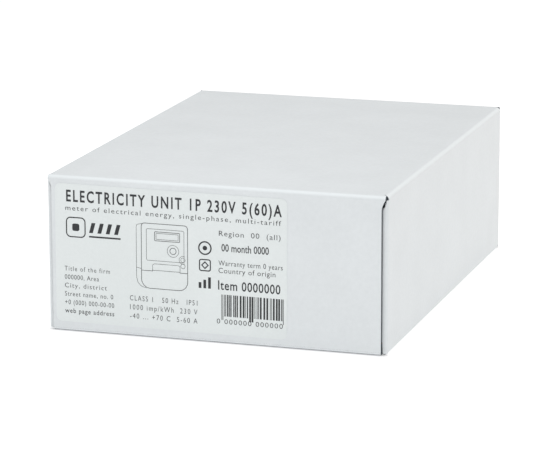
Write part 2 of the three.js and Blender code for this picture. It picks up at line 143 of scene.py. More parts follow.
# Unbleached kraft: long brown fibres lying along the web, matt and slightly flecked
def kraftPaper(name, fibre, shade, roughness=0.88):
    material, tree, shader = startMaterial(name, Roughness=roughness, Specular_IOR_Level=0.2)
    sheet = addNode(tree, "UVMap", {}, uv_map="sheet")
    drawn = addNode(tree, "Mapping", {"Vector": sheet, "Scale": (1000 / 4, 1000 / 0.4, 1.0)})
    streaks = addNode(tree, "TexNoise", {"Vector": drawn, "Scale": 1.0, "Detail": 5.0})
    place = addNode(tree, "TexCoord", {}, "Object")
    cloud = addNode(tree, "TexNoise", {"Vector": place, "Scale": 1000 / 7, "Detail": 3.0})
    bump = addNode(tree, "Bump", {"Height": streaks, "Strength": 0.5, "Distance": 0.06 * mm})
    colour = mottled(tree, streaks, cloud, 0.35, shade, fibre)
    join(tree, shader, Base_Color=colour, Normal=bump)
    return material


# A smooth calendered sheet with fine fibre: label stock and book paper
def smoothPaper(name, face, shade, roughness, specular):
    material, tree, shader = startMaterial(name, Roughness=roughness, Specular_IOR_Level=specular)
    place = addNode(tree, "TexCoord", {}, "Object")
    fibre = addNode(tree, "TexNoise", {"Vector": place, "Scale": 1000 / 1.2, "Detail": 5.0})
    cloud = addNode(tree, "TexNoise", {"Vector": place, "Scale": 1000 / 30, "Detail": 2.0})
    bump = addNode(tree, "Bump", {"Height": fibre, "Strength": 0.2, "Distance": 0.015 * mm})
    colour = mottled(tree, fibre, cloud, 0.3, shade, face)
    join(tree, shader, Base_Color=colour, Normal=bump)
    return material


# Thermal-transfer ink: flat black with a little of the paper's tooth showing through
def printedInk(name, ink, thin):
    material, tree, shader = startMaterial(name, Roughness=0.45, Specular_IOR_Level=0.4)
    place = addNode(tree, "TexCoord", {}, "Object")
    wear = addNode(tree, "TexNoise", {"Vector": place, "Scale": 1000 / 0.5, "Detail": 3.0})
    amount = addNode(tree, "MapRange", {"Value": wear, "From Min": 0.55, "From Max": 0.8})
    colour = addNode(tree, "Mix", {0: amount, 6: linear(ink), 7: linear(thin)}, 2, data_type="RGBA")
    join(tree, shader, Base_Color=colour)
    return material


# Injection-moulded plastic: one body colour with a spark-eroded satin grain and faint flow clouding
def mouldedPlastic(name, body, shade, roughness=0.42, grain=0.45, ior=1.53):
    material, tree, shader = startMaterial(name, IOR=ior)
    place = addNode(tree, "TexCoord", {}, "Object")
    cloud = addNode(tree, "TexNoise", {"Vector": place, "Scale": 1000 / 26, "Detail": 2.0})
    spark = addNode(tree, "TexNoise", {"Vector": place, "Scale": 1000 / grain, "Detail": 3.0})
    limits = {"Value": spark, "To Min": roughness - 0.07, "To Max": roughness + 0.09}
    bump = addNode(tree, "Bump", {"Height": spark, "Strength": 0.3, "Distance": 0.02 * mm})
    colour = addNode(tree, "Mix", {0: cloud, 6: linear(shade), 7: linear(body)}, 2, data_type="RGBA")
    rough = addNode(tree, "MapRange", limits)
    join(tree, shader, Base_Color=colour, Roughness=rough, Normal=bump)
    return material


# Clear polycarbonate: polished faces, a trace of grey and faint handling haze
def clearPlastic(name, body):
    values = {"Base_Color": linear(body), "IOR": 1.585, "Transmission_Weight": 0.95}
    material, tree, shader = startMaterial(name, **values)
    place = addNode(tree, "TexCoord", {}, "Object")
    haze = addNode(tree, "TexNoise", {"Vector": place, "Scale": 1000 / 12, "Detail": 5.0})
    rough = addNode(tree, "MapRange", {"Value": haze, "To Min": 0.02, "To Max": 0.1})
    join(tree, shader, Roughness=rough)
    return material


# Sheared or turned metal: fine draw lines along one axis break up the shine, with a duller plated bloom
def drawnMetal(name, metal, bloom, roughness):
    material, tree, shader = startMaterial(name, Metallic=1.0)
    place = addNode(tree, "TexCoord", {}, "Object")
    lines = (1000 * 3, 1000 / 6.25, 1000 / 6.25)
    stretched = addNode(tree, "Mapping", {"Vector": place, "Scale": lines})
    draw = addNode(tree, "TexNoise", {"Vector": stretched, "Scale": 1.0, "Detail": 3.0})
    patch = addNode(tree, "TexNoise", {"Vector": place, "Scale": 1000 / 5, "Detail": 4.0})
    limits = {"Value": draw, "To Min": roughness - 0.08, "To Max": roughness + 0.14}
    bump = addNode(tree, "Bump", {"Height": draw, "Strength": 0.3, "Distance": 0.01 * mm})
    colour = addNode(tree, "Mix", {0: patch, 6: linear(bloom), 7: linear(metal)}, 2, data_type="RGBA")
    rough = addNode(tree, "MapRange", limits)
    join(tree, shader, Base_Color=colour, Roughness=rough, Normal=bump)
    return material


# Solder mask over etched copper: the tracks show through the green as paler, raised runs
def solderMask(name, mask, track, pitch=2.54):
    material, tree, shader = startMaterial(name, Roughness=0.3, IOR=1.5)
    place = addNode(tree, "TexCoord", {}, "Object")
    spacing = {"Vector": place, "Scale": 1000 / (pitch * 2), "Randomness": 0.75}
    cells = addNode(tree, "TexVoronoi", spacing, feature="DISTANCE_TO_EDGE")
    limits = {"Value": cells, "From Min": 0.045, "From Max": 0.06, "To Min": 1.0, "To Max": 0.0}
    run = addNode(tree, "MapRange", limits)
    bump = addNode(tree, "Bump", {"Height": run, "Strength": 0.6, "Distance": 0.04 * mm})
    colour = addNode(tree, "Mix", {0: run, 6: linear(mask), 7: linear(track)}, 2, data_type="RGBA")
    join(tree, shader, Base_Color=colour, Normal=bump)
    return material


# Liquid-crystal panel: grey-green glass with the faint grid of its unlit segments
def lcdGlass(name, glass, segment):
    material, tree, shader = startMaterial(name, Roughness=0.12, IOR=1.5)
    place = addNode(tree, "TexCoord", {}, "Object")
    cell = {"Vector": place, "Scale": 1000 / 8, "Mortar Size": 0.06, "Brick Width": 0.55, "Row Height": 0.9}
    colours = {"Color1": linear(glass), "Color2": linear(glass), "Mortar": linear(segment)}
    grid = addNode(tree, "TexBrick", {**cell, **colours})
    join(tree, shader, Base_Color=grid)
    return material


whiteLiner = coatedLiner("clayCoatedWhiteLiner")
# Painted highlight: a pale band along the top panel's two side folds and along each end panel's top fold
sleeveFoldHighlight = {"axis": 1, "centre": 289.5, "at": 74.6, "reach": 1.3, "soft": 0.25, "colour": "#eff4f6"}
closureFoldHighlight = {"axis": 0, "centre": 0.0, "at": 3.5, "reach": 1.3, "soft": 0.25, "colour": "#eff4f6"}
# Painted shade: a grey band along each tuck flap's lower fold, at the carton's bottom front edge, stands in
# for the contact shadow there
tuckFoldShade = {"axis": 0, "centre": 0.0, "at": 1.75, "reach": 0.95, "soft": 0.9, "colour": "#7b8085"}
sleeveHighlightLiner = coatedLiner("sleeveLinerPaintedHighlight", sleeveFoldHighlight)
closureHighlightLiner = coatedLiner("closureLinerPaintedHighlight", closureFoldHighlight)
tuckShadeLiner = coatedLiner("tuckLinerPaintedShade", tuckFoldShade)
greyLiner = kraftPaper("recycledGreyLiner", "#81888e", "#6e757b")
greyMedium = kraftPaper("flutedGreyMedium", "#70777d", "#5f666c")
brownLiner = kraftPaper("unbleachedKraftLiner", "#bd9468", "#a67c52")
brownMedium = kraftPaper("flutedKraftMedium", "#a98255", "#8e6a43")
labelStock = smoothPaper("coatedLabelStock", "#e5eaea", "#e1e6e6", 0.42, 0.4)
bookPaper = smoothPaper("uncoatedOffsetPaper", "#eeede7", "#e6e4dd", 0.75, 0.25)
labelInk = printedInk("thermalTransferInk", "#2b2d30", "#3a3d40")
housingAbs = mouldedPlastic("mouldedLightGreyAbs", "#e2e3df", "#dcddd8")
coverAbs = mouldedPlastic("mouldedCoverAbs", "#d3d6d4", "#cdd0ce")
nameplateFilm = mouldedPlastic("matteNameplateFilm", "#c9cdce", "#c4c8c9", 0.35, 0.25)
clearCarbonate = clearPlastic("polishedClearPolycarbonate", "#e4ecee")
displayGlass = lcdGlass("reflectiveLcdGlass", "#8f9c88", "#86937f")
blackNylon = mouldedPlastic("glassFilledBlackNylon", "#2a2b2d", "#232426", 0.5, 0.35)
greyAbs = mouldedPlastic("mouldedDarkGreyAbs", "#6d7073", "#66696c")
zincSteel = drawnMetal("zincPlatedSteel", "#c3c7ca", "#a9afb5", 0.3)
clampBrass = drawnMetal("sawnBrass", "#cdab62", "#b8924a", 0.3)
barCopper = drawnMetal("shearedCopper", "#c88560", "#ad6c4a", 0.32)
boardMask = solderMask("greenSolderMask", "#1c5737", "#2e7350")
blueSleeve = mouldedPlastic("heatShrunkBlueSleeve", "#2f62a8", "#29589a", 0.32, 0.6)
whiteBoard, brownBoard = [whiteLiner, greyLiner, greyMedium], [brownLiner, brownLiner, brownMedium]
print("materials ready")


# Closes two grids of the same shape into a slab: each vertex joins its neighbours in row and column,
# and a rim joins the two grids. A ring joins its last column to its first, and may have a hole.
def slabArrays(outer, inner, uv, ring=False, hole=True):
    rows, columns = outer.shape[:2]
    index = np.arange(rows * columns).reshape(rows, columns)
    count = rows * columns
    if ring:
        index = np.concatenate([index, index[:, :1]], 1)
        edge, onward = index[-1, 1:], index[-1, :-1]
        if hole:
            edge, onward = np.concatenate([edge, index[0, :-1]]), np.concatenate([onward, index[0, 1:]])
    else:
        edge = np.concatenate([index[0, :-1], index[:-1, -1], index[-1, :0:-1], index[:0:-1, 0]])
        onward = np.roll(edge, -1)
    top = np.stack([index[:-1, :-1], index[1:, :-1], index[1:, 1:], index[:-1, 1:]], -1).reshape(-1, 4)
    rim = np.stack([edge, onward, onward + count, edge + count], -1)
    faces = np.concatenate([top, top[:, ::-1] + count, rim])
    points = np.concatenate([outer.reshape(-1, 3), inner.reshape(-1, 3)])
    return points, outward(points, faces), np.tile(uv.reshape(-1, 2), (2, 1)), len(rim)


# Six times the enclosed volume is the sum of a . (b x c) over each face's two triangles
def outward(points, faces):
    a, b, c, d = (points[faces[:, k]] for k in range(4))
    volume = np.einsum("ij,ij->", a, np.cross(b, c)) + np.einsum("ij,ij->", a, np.cross(c, d))
    return faces if volume > 0 else faces[:, ::-1]


def makeMesh(name, parts, materials, smoothAngle=32):
    allPoints, allFaces, allUvs, slots = [], [], [], []
    start = 0
    for points, faces, uvs, rimCount, faceSlot, rimSlot in parts:
        allPoints.append(points)
        allFaces.append(faces + start)
        allUvs.append(uvs)
        slots.append(np.where(np.arange(len(faces)) < len(faces) - rimCount, faceSlot, rimSlot))
        start += len(points)
    points, faces = np.concatenate(allPoints) * mm, np.concatenate(allFaces)
    mesh = bpy.data.meshes.new(name)
    mesh.from_pydata(points.tolist(), [], faces.tolist())
    corners = np.zeros(len(mesh.loops), np.int32)
    mesh.loops.foreach_get("vertex_index", corners)
    layer = mesh.uv_layers.new(name="sheet")
    layer.data.foreach_set("uv", (np.concatenate(allUvs)[corners] * mm).ravel())
    mesh.polygons.foreach_set("material_index", np.concatenate(slots))
    for material in materials:
        mesh.materials.append(material)
    tidyMesh(mesh, smoothAngle)
    return addObject(name, mesh)


def tidyMesh(mesh, smoothAngle=32):
    work = bmesh.new()
    work.from_mesh(mesh)
    bmesh.ops.remove_doubles(work, verts=work.verts, dist=1e-7)
    bmesh.ops.dissolve_degenerate(work, dist=1e-8, edges=work.edges)
    work.to_mesh(mesh)
    work.free()
    mesh.polygons.foreach_set("use_smooth", np.ones(len(mesh.polygons), bool))
    mesh.set_sharp_from_angle(angle=math.radians(smoothAngle))
    mesh.update()


# The way from a run's start to distance s along it: a chord of its arc, or of the straight
def chord(angle, bend, length, s):
    h = angle + bend * s / length
    if not bend:
        return np.stack([np.cos(h), np.sin(h)], -1) * s[..., None]
    return np.stack([np.sin(h) - math.sin(angle), math.cos(angle) - np.cos(h)], -1) * (length / bend)


# A planar path of runs, each a length and a turn in degrees, left turns positive. At distance s along
# a run the heading is h = h0 + turn * s / length, and the point is the start plus the run's chord.
def pathAt(distance, start, heading, runs):
    point, normal = np.zeros((*distance.shape, 2)), np.zeros((*distance.shape, 2))
    at, angle, passed = np.array(start, float), math.radians(heading), 0.0
    for i, (length, turn) in enumerate(runs):
        bend = math.radians(turn)
        s = distance - passed
        here = (distance >= passed) if i else np.ones(distance.shape, bool)
        h = angle + bend * s / length
        point[here] = (at + chord(angle, bend, length, s))[here]
        normal[here] = np.stack([np.sin(h), -np.cos(h)], -1)[here]
        at = at + chord(angle, bend, length, np.array(length))
        angle += bend
        passed += length
    return point, normal


def foldLength(radius, turn):
    return abs(math.radians(turn)) * radius


# Distances that follow a path closely: a step about every 10 degrees of a turn, and even steps between
def pathSteps(runs, longest=25.0):
    steps, passed = [np.array([0.0])], 0.0
    for length, turn in runs:
        count = max(int(abs(turn) / 10), 0) if turn else int(math.ceil(length / longest))
        steps.append(passed + np.linspace(0, length, max(count, 1) + 1)[1:])
        passed += length
    return np.concatenate(steps)


# Corrugated board: two liners and a medium at depth 0.6 + a sin(2 pi w / pitch), w across the flutes.
# place gives the point at path distance u, sideways place v and depth d under the outer face.
def corrugated(name, us, vs, place, flutesAlongPath, finishes):
    thick, liner, pitch = board["thick"], board["liner"], board["pitch"]
    wave = (thick - liner * 2 - board["medium"]) / 2 - 0.005

    def slab(uList, vList, low, high, height, faceSlot, rimSlot):
        u, v = np.meshgrid(uList, vList, indexing="ij")
        ripple = height * np.sin(2 * math.pi * (v if flutesAlongPath else u) / pitch)
        uv = np.stack([u, v] if flutesAlongPath else [v, u], -1)
        outer, inner = place(u, v, low + ripple), place(u, v, high + ripple)
        return (*slabArrays(outer, inner, uv), faceSlot, rimSlot)

    count = board["perWave"]
    if flutesAlongPath:
        fine = np.linspace(vs[0], vs[-1], int((vs[-1] - vs[0]) / pitch * count) + 1)
        mediumU, mediumV = us, fine
    else:
        fine = np.linspace(us[0], us[-1], int((us[-1] - us[0]) / pitch * count) + 1)
        mediumU, mediumV = np.unique(np.concatenate([fine, us])), vs
    middle = thick / 2
    parts = [
        slab(us, vs, 0.0, liner, 0.0, 0, 1),
        slab(us, vs, thick - liner, thick, 0.0, 1, 1),
        slab(mediumU, mediumV, middle - board["medium"] / 2, middle + board["medium"] / 2, wave, 2, 2),
    ]
    return makeMesh(name, parts, finishes)


def turned(points, end):
    return points * np.array([end, end, 1.0])


def finishPiece(piece, slot, nodes, body=None):
    if nodes:
        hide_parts(*nodes)
    if body:
        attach(piece, body)
    return piece


sleeve = {"seam": 0.15, "bow": 0.3, "sideBow": 0.2, "wallIn": 0.3, "topOut": 0.1, "jump": 0.06}
sleeveEnds = {"bottom": 98.0, "bottomCorner": 98.25, "side": 98.25, "topCorner": 98.8, "top": 97.6}


# The four long panels: a path round the section, drawn out along y. Each panel bows inwards by
# b cos(pi y / L) sin^2 of its place across, and each stretch of the section ends at its own y.
def makeSleeve():
    half, height, fold = carton["width"] / 2, carton["height"], carton["fold"]
    flat, wall, corner = half * 2 - fold * 2, height - fold * 2, foldLength(fold, 90)
    first = sleeve["seam"]
    sides = [(corner, 90), (wall, 0), (corner, 90)]
    runs = [(flat - first, 0), *sides, (flat, 0), *sides]
    total = sum(length for length, turn in runs)
    start = (-half + fold + first, 0.0)
    bottomEnd = flat - first
    topStart = bottomEnd + corner * 2 + wall
    wallIn, topOut = sleeve["wallIn"], sleeve["topOut"]
    jumps = [bottomEnd, topStart - topOut, topStart + flat + topOut]
    for wallStart in (bottomEnd + corner, topStart + flat + corner):
        jumps += [wallStart + wallIn, wallStart + wall - wallIn]
    jumps = np.array(jumps)
    around = np.unique(np.concatenate([pathSteps(runs, 12.0), jumps - sleeve["jump"], jumps + sleeve["jump"]]))
    around = around[(around >= 0) & (around <= total)]

    def endAt(u):
        point = pathAt(u, start, 0, runs)[0]
        z = point[..., 1]
        onBottom = u <= bottomEnd
        onTop = (u >= topStart - topOut) & (u <= topStart + flat + topOut)
        onWall = (np.abs(point[..., 0]) > half - 0.01) & (np.abs(z - height / 2) < wall / 2 - wallIn)
        corner = np.where(z > height / 2, sleeveEnds["topCorner"], sleeveEnds["bottomCorner"])
        ends = np.where(onTop, sleeveEnds["top"], np.where(onWall, sleeveEnds["side"], corner))
        return np.where(onBottom, sleeveEnds["bottom"], ends)

    def place(u, v, d):
        point, normal = pathAt(u, start, 0, runs)
        onTop = np.clip((u - topStart) / flat, 0, 1)
        right = np.clip((u - bottomEnd - corner) / wall, 0, 1)
        left = np.clip((u - topStart - flat - corner) / wall, 0, 1)
        sides = np.sin(math.pi * right) ** 2 + np.sin(math.pi * left) ** 2
        inward = sleeve["bow"] * np.sin(math.pi * onTop) ** 2 + sleeve["sideBow"] * sides
        inward = inward * np.cos(math.pi * v / 2)
        section = point - normal * (d + inward)[..., None]
        return np.stack([section[..., 0], v * endAt(u), section[..., 1]], -1)

    alongY = np.array([-1.0, -0.985, -0.9, -0.7, -0.45, -0.2, 0.0, 0.2, 0.45, 0.7, 0.9, 0.985, 1.0])
    # The sleeve's liner carries a painted highlight along the top's side folds
    finishes = [sleeveHighlightLiner, greyLiner, greyMedium]
    piece = corrugated("cartonSleeve", around, alongY, place, False, finishes)
    return finishPiece(piece, "white_board", ["carton_sleeve"], "carton")


closure = {
    "halfWidth": 72.65, "lipHalf": 73.2, "foldStart": 97.6, "lipEnd": 99.7, "lowEnd": 1.42,
    "flare": 74.25, "flareLength": 4.6, "growFrom": 0.6, "growLength": 1.2,
}


# The end panel: over the top fold, then straight down. Its half width grows from the lip's to the
# flare within the fold, then falls to the panel's as (1 - t)^2; x = v times that half width.
def makeClosure(name, end):
    fold, height = carton["fold"], carton["height"]
    lip = closure["lipEnd"] - closure["foldStart"]
    bend, growFrom = foldLength(fold, 90), lip * closure["growFrom"]
    runs = [(lip, 0), (bend, 90), (height - fold - closure["lowEnd"], 0)]

    def place(u, v, d):
        point, normal = pathAt(u, (-closure["foldStart"], height), 180, runs)
        section = point - normal * d[..., None]
        grow = np.clip((u - growFrom) / closure["growLength"], 0, 1)
        ease = np.clip((u - lip - bend) / closure["flareLength"], 0, 1)
        half = closure["lipHalf"] + (closure["flare"] - closure["lipHalf"]) * grow
        half = half - (closure["flare"] - closure["halfWidth"]) * (1 - (1 - ease) ** 2)
        x = v / closure["halfWidth"] * half
        return turned(np.stack([x, section[..., 0], section[..., 1]], -1), end)

    across = np.linspace(-closure["halfWidth"], closure["halfWidth"], 13)
    flareSteps = lip + bend + np.linspace(0, closure["flareLength"], 9)
    growSteps = growFrom + np.linspace(0, closure["growLength"], 5)
    down = np.concatenate([pathSteps(runs, 12.0), flareSteps, growSteps])
    down = np.unique(np.round(down, 4))
    # The end panel's liner carries a painted highlight along its top fold
    finishes = [closureHighlightLiner, greyLiner, greyMedium]
    piece = corrugated(name + "_closurePanel", down, across, place, True, finishes)
    finishPiece(piece, "white_board", [name + "_closure"])
    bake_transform(piece)


tuck = {
    "half": 70.0, "foldHalf": 72.6, "startZ": 1.4, "fold": 1.25, "turn": 125, "rise": 1.96,
    "ease": 3.0, "back": 27, "run": 8.8, "corner": 6.0, "narrow": 0.4, "under": (99.5, 0.4),
}


# The tuck flap: round the lower fold, up over the bottom panel's end and in above it. It narrows past
# the fold, and towards its free edge the half width falls by r - sqrt(r^2 - t^2) over the corner.
def makeTuck(name, end):
    bend = foldLength(tuck["fold"], tuck["turn"])
    ease = (foldLength(tuck["ease"], tuck["back"]), -tuck["back"])
    runs = [(bend, tuck["turn"]), (tuck["rise"], 0), ease, (tuck["run"], 0)]
    length = sum(run for run, turn in runs)

    def place(u, v, d):
        point, normal = pathAt(u, (-frontY, tuck["startZ"]), 270, runs)
        section = point - normal * d[..., None]
        past = np.clip(u - (length - tuck["corner"]), 0, tuck["corner"] * 0.999)
        half = tuck["half"] - tuck["corner"] + np.sqrt(tuck["corner"] ** 2 - past**2)
        wide = np.clip((bend - u) / tuck["narrow"] + 1, 0, 1)
        half = half + (tuck["foldHalf"] - tuck["half"]) * wide
        return turned(np.stack([v / tuck["half"] * half, section[..., 0], section[..., 1]], -1), end)

    across = np.linspace(-tuck["half"], tuck["half"], 11)
    corner = length - tuck["corner"] * (1 - np.sin(np.linspace(0, math.pi / 2, 8)))
    down = np.unique(np.round(np.concatenate([pathSteps(runs, 6.0), corner, [bend + tuck["narrow"]]]), 4))
    # The flap's liner carries painted shade along its lower fold
    piece = corrugated(name + "_tuckFlap", down, across, place, True, [tuckShadeLiner, greyLiner, greyMedium])
    finishPiece(piece, "white_board", [name + "_tuck"])
    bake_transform(piece)


dustFlap = {"low": 5.0, "high": 64.0, "lowTaper": 15, "highTaper": 30, "freeX": 30.0}
sideFold = {"y": 98.85, "radius": 1.25, "flat": 0.65, "over": 45, "slant": 0.6, "ease": 0.5}
sideStep = {"low": 0.8, "high": 66.1, "x": 72.75, "width": 0.35, "notch": 1.3, "notchLength": 3.5}


# A dust flap: round the side fold, behind the closure's edge, slanting back to clear it, then straight
# across. z runs between two tapering edges, which step out to nearly the side's height at the fold;
# near the top the step moves out by n t^2, which leaves a small notch under the closure's corner.
def makeDustFlap(name, end, mirror, node):
    half, radius, over = carton["width"] / 2, sideFold["radius"], sideFold["over"]
    slant = math.radians(over)
    lead = sideFold["y"] - sleeveEnds["side"]
    ease = (foldLength(sideFold["ease"], over), over)
    reached = half - radius - sideFold["flat"] - math.sin(slant) * sideFold["ease"] * 2
    reached -= math.cos(slant) * sideFold["slant"]
    runs = [(lead, 0), (foldLength(radius, 90), 90), (sideFold["flat"], 0), ease, (sideFold["slant"], 0)]
    runs += [(ease[0], -over), (reached - dustFlap["freeX"], 0)]

    def place(u, v, d):
        point, normal = pathAt(u, (-sleeveEnds["side"], half), 180, runs)
        section = point - normal * d[..., None]
        inFrom = np.clip(half - point[..., 1], 0, None)
        near = np.clip((v - dustFlap["high"]) / sideStep["notchLength"] + 1, 0, 1)
        stepX = sideStep["x"] + sideStep["notch"] * near**2
        stepOut = np.clip((point[..., 1] - stepX) / sideStep["width"], 0, 1)
        low = dustFlap["low"] + inFrom * math.tan(math.radians(dustFlap["lowTaper"]))
        high = dustFlap["high"] - inFrom * math.tan(math.radians(dustFlap["highTaper"]))
        low = low + (sideStep["low"] - low) * stepOut
        high = high + (sideStep["high"] - high) * stepOut
        z = low + (high - low) * (v - dustFlap["low"]) / (dustFlap["high"] - dustFlap["low"])
        return turned(np.stack([section[..., 1] * mirror, section[..., 0], z], -1), end)

    below = dustFlap["high"] - sideStep["notchLength"]
    up = np.concatenate([np.linspace(dustFlap["low"], below, 6), dustFlap["high"] - np.array([2.3, 1.1, 0.0])])
    piece = corrugated(name, pathSteps(runs, 9.0), up, place, True, whiteBoard)
    finishPiece(piece, "white_board", [node])
    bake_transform(piece)


makeSleeve()
for endName, end in (("front", 1), ("back", -1)):
    makeClosure(endName, end)
    makeTuck(endName, end)
    for side, mirror in (("right", end), ("left", -end)):
        node = endName + "_" + side + "_dust_flap"
        makeDustFlap(endName + "_" + side + "_dustFlap", end, mirror, node)
print("carton folded")


label = {
    "left": 3.9, "bottom": 4.1, "width": 103.1, "height": 60.4, "corner": 2.5, "back": 101.51, "front": 101.62,
    "tilt": -0.3, "midX": -19.5, "midZ": 34.0,
}
ink = {"back": 101.625, "front": 101.645}


# Rounded rectangle as a closed outline: the four corner arcs in turn, each point at the corner's
# centre plus r (cos a, sin a)
def roundedOutline(low, high, radius, steps=8):
    angles = np.linspace(0, math.pi / 2, steps)
    centres = [(high[0] - radius, high[1] - radius), (low[0] + radius, high[1] - radius)]
    centres += [(low[0] + radius, low[1] + radius), (high[0] - radius, low[1] + radius)]
    quarters = [angles + k * math.pi / 2 for k in range(4)]
    arcs = [np.array(c) + radius * np.stack([np.cos(a), np.sin(a)], -1) for c, a in zip(centres, quarters)]
    return np.concatenate(arcs)


# Lays x and z on the plane y = -depth, turned a little about the label's middle, as it was stuck on
def onFront(flat, depth):
    x, z, turn = flat[..., 0] - label["midX"], flat[..., 1] - label["midZ"], math.radians(label["tilt"])
    across = label["midX"] + x * math.cos(turn) - z * math.sin(turn)
    up = label["midZ"] + x * math.sin(turn) + z * math.cos(turn)
    return np.stack([across, np.broadcast_to(-depth, across.shape), up], -1)


# A flat plate from an outline: rings scaled from the outline's middle, then closed front to back
def outlinePlate(outline, back=ink["back"], front=ink["front"], rings=(0.0, 0.6, 1.0)):
    middle = (outline.max(0) + outline.min(0)) / 2
    flat = middle + (outline[None] - middle) * np.array(rings)[:, None, None]
    return slabArrays(onFront(flat, front), onFront(flat, back), flat, True, False)


def makeLabel():
    low = np.array([label["left"] - carton["width"] / 2, label["bottom"]])
    high = low + np.array([label["width"], label["height"]])
    plate = outlinePlate(roundedOutline(low, high, label["corner"]), label["back"], label["front"])
    piece = makeMesh("endLabel", [(*plate, 0, 0)], [labelStock])
    finishPiece(piece, "label_film", ["product_label"], "front_closure")


# A drawn line: the outline of a polyline widened by w / 2 each way, mitred at its corners
def ribbon(points, width, closed=False):
    line = np.array(points, float)
    if closed:
        line = np.concatenate([line, line[:1]])
    step = np.diff(line, axis=0)
    step /= np.linalg.norm(step, axis=1)[:, None]
    before, after = np.concatenate([step[:1], step]), np.concatenate([step, step[-1:]])
    if closed:
        before[0], after[-1] = step[-1], step[0]
    across = np.stack([-(before + after)[:, 1], (before + after)[:, 0]], -1)
    across /= np.linalg.norm(across, axis=1)[:, None]
    straight = np.stack([-before[:, 1], before[:, 0]], -1)
    reach = width / 2 / np.clip(np.einsum("ij,ij->i", across, straight), 0.3, 1)
    left, right = line + across * reach[:, None], line - across * reach[:, None]
    flat = np.stack([left, right])
    if closed:
        flat = flat[:, :-1]
    return slabArrays(onFront(flat, ink["front"]), onFront(flat, ink["back"]), flat, closed)


def circle(x, z, radius, start=0, stop=360, steps=28):
    angles = np.radians(np.linspace(start, stop, steps))
    return np.stack([x + radius * np.cos(angles), z + radius * np.sin(angles)], -1)


def quad(left, right, low, high):
    return outlinePlate(np.array([[left, low], [right, low], [right, high], [left, high]]), rings=(0.0, 1.0))


# Text is set from the built-in face, made a mesh, then scaled to its width and its capital height
def textMesh(words, bold, spacing=1.0):
    curve = bpy.data.curves.new("words", "FONT")
    curve.body = words
    curve.space_character = spacing
    curve.size = 1.0
    curve.extrude = 0.01
    curve.resolution_u = 3
    curve.offset = bold
    holder = addObject("words", curve)
    bpy.context.view_layer.update()
    mesh = bpy.data.meshes.new_from_object(holder)
    bpy.data.objects.remove(holder)
    return mesh


capMesh = textMesh("H", 0.0)
capPoints = np.array([vertex.co for vertex in capMesh.vertices])
capHeight = capPoints[:, 1].max() - capPoints[:, 1].min()


def setText(words, left, right, base, cap, bold, spacing):
    mesh = textMesh(words, bold, spacing)
    points = np.zeros(len(mesh.vertices) * 3)
    mesh.vertices.foreach_get("co", points)
    points = points.reshape(-1, 3)
    low, high = points[:, 0].min(), points[:, 0].max()
    x = (points[:, 0] - low) / (high - low) * (right - left) + left - carton["width"] / 2
    z = points[:, 1] * cap / capHeight + base
    depth = np.where(points[:, 2] > 0, ink["front"], ink["back"])
    mesh.vertices.foreach_set("co", (onFront(np.stack([x, z], -1), depth) * mm).ravel())
    tidyMesh(mesh)
    return mesh


# Each line: its words, left and right ends, base line, capital height, stroke swell and letter spacing
printLines = [
    ("ELECTRICITY UNIT 1P 230V 5(60)A", 9.0, 104.7, 56.85, 4.8, 0.022, 1.3),
    ("meter of electrical energy, single-phase, multi-tariff", 8.6, 104.4, 52.95, 2.1, -0.004, 1.25),
    ("Region  00  (all)", 77.2, 104.2, 46.75, 2.2, -0.004, 1.15),
    ("00 month 0000", 78.3, 99.1, 40.2, 3.1, 0.01, 1.0),
    ("Warranty term 0 years", 77.0, 105.2, 34.0, 2.2, -0.004, 1.1),
    ("Country of origin", 77.0, 102.0, 30.8, 2.2, -0.004, 1.1),
    ("Item 0000000", 76.8, 104.2, 23.6, 3.9, 0.012, 1.1),
    ("Title of the firm", 7.9, 28.4, 26.5, 2.0, -0.004, 1.25),
    ("000000, Area", 7.9, 23.4, 22.8, 2.0, -0.004, 1.1),
    ("City, district", 7.9, 27.0, 19.1, 2.0, -0.004, 1.2),
    ("Street name, no. 0", 7.9, 29.8, 15.4, 2.0, -0.004, 1.15),
    ("+0 (000) 000-00-00", 7.9, 30.2, 11.7, 2.0, -0.004, 1.15),
    ("web page address", 7.9, 30.2, 8.0, 2.0, 0.004, 1.15),
    ("CLASS 1   50 Hz   IP51", 37.4, 67.6, 15.75, 2.2, -0.004, 1.3),
    ("1000 imp/kWh  230 V", 37.4, 67.6, 11.8, 2.2, -0.004, 1.3),
    ("-40 ... +70 C  5-60 A", 37.4, 67.6, 7.9, 2.2, -0.004, 1.3),
    ("0 000000 000000", 76.2, 105.3, 8.8, 2.1, -0.004, 1.2),
]


def printPiece(name, flatParts, texts):
    piece = makeMesh(name, [(*part, 0, 0) for part in flatParts], [labelInk])
    work = bmesh.new()
    work.from_mesh(piece.data)
    for mesh in texts:
        work.from_mesh(mesh)
    work.to_mesh(piece.data)
    work.free()
    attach(piece, "front_closure")
    return piece


# The bars: seeded widths of one to three modules, with taller guards at the ends and in the middle
def barCode(left, right, low, high):
    widths = random.choice([1, 1, 2, 2, 3], 56)
    widths[[0, 1, 2, -3, -2, -1]] = 1
    edges = np.concatenate([[0], np.cumsum(widths)]) / widths.sum() * (right - left) + left
    edges = edges - carton["width"] / 2
    bars = []
    for k in range(0, 56, 2):
        guard = k in (0, 2, 26, 28, 54)
        bars.append(quad(edges[k], edges[k + 1], low - (1.6 if guard else 0), high))
    return bars


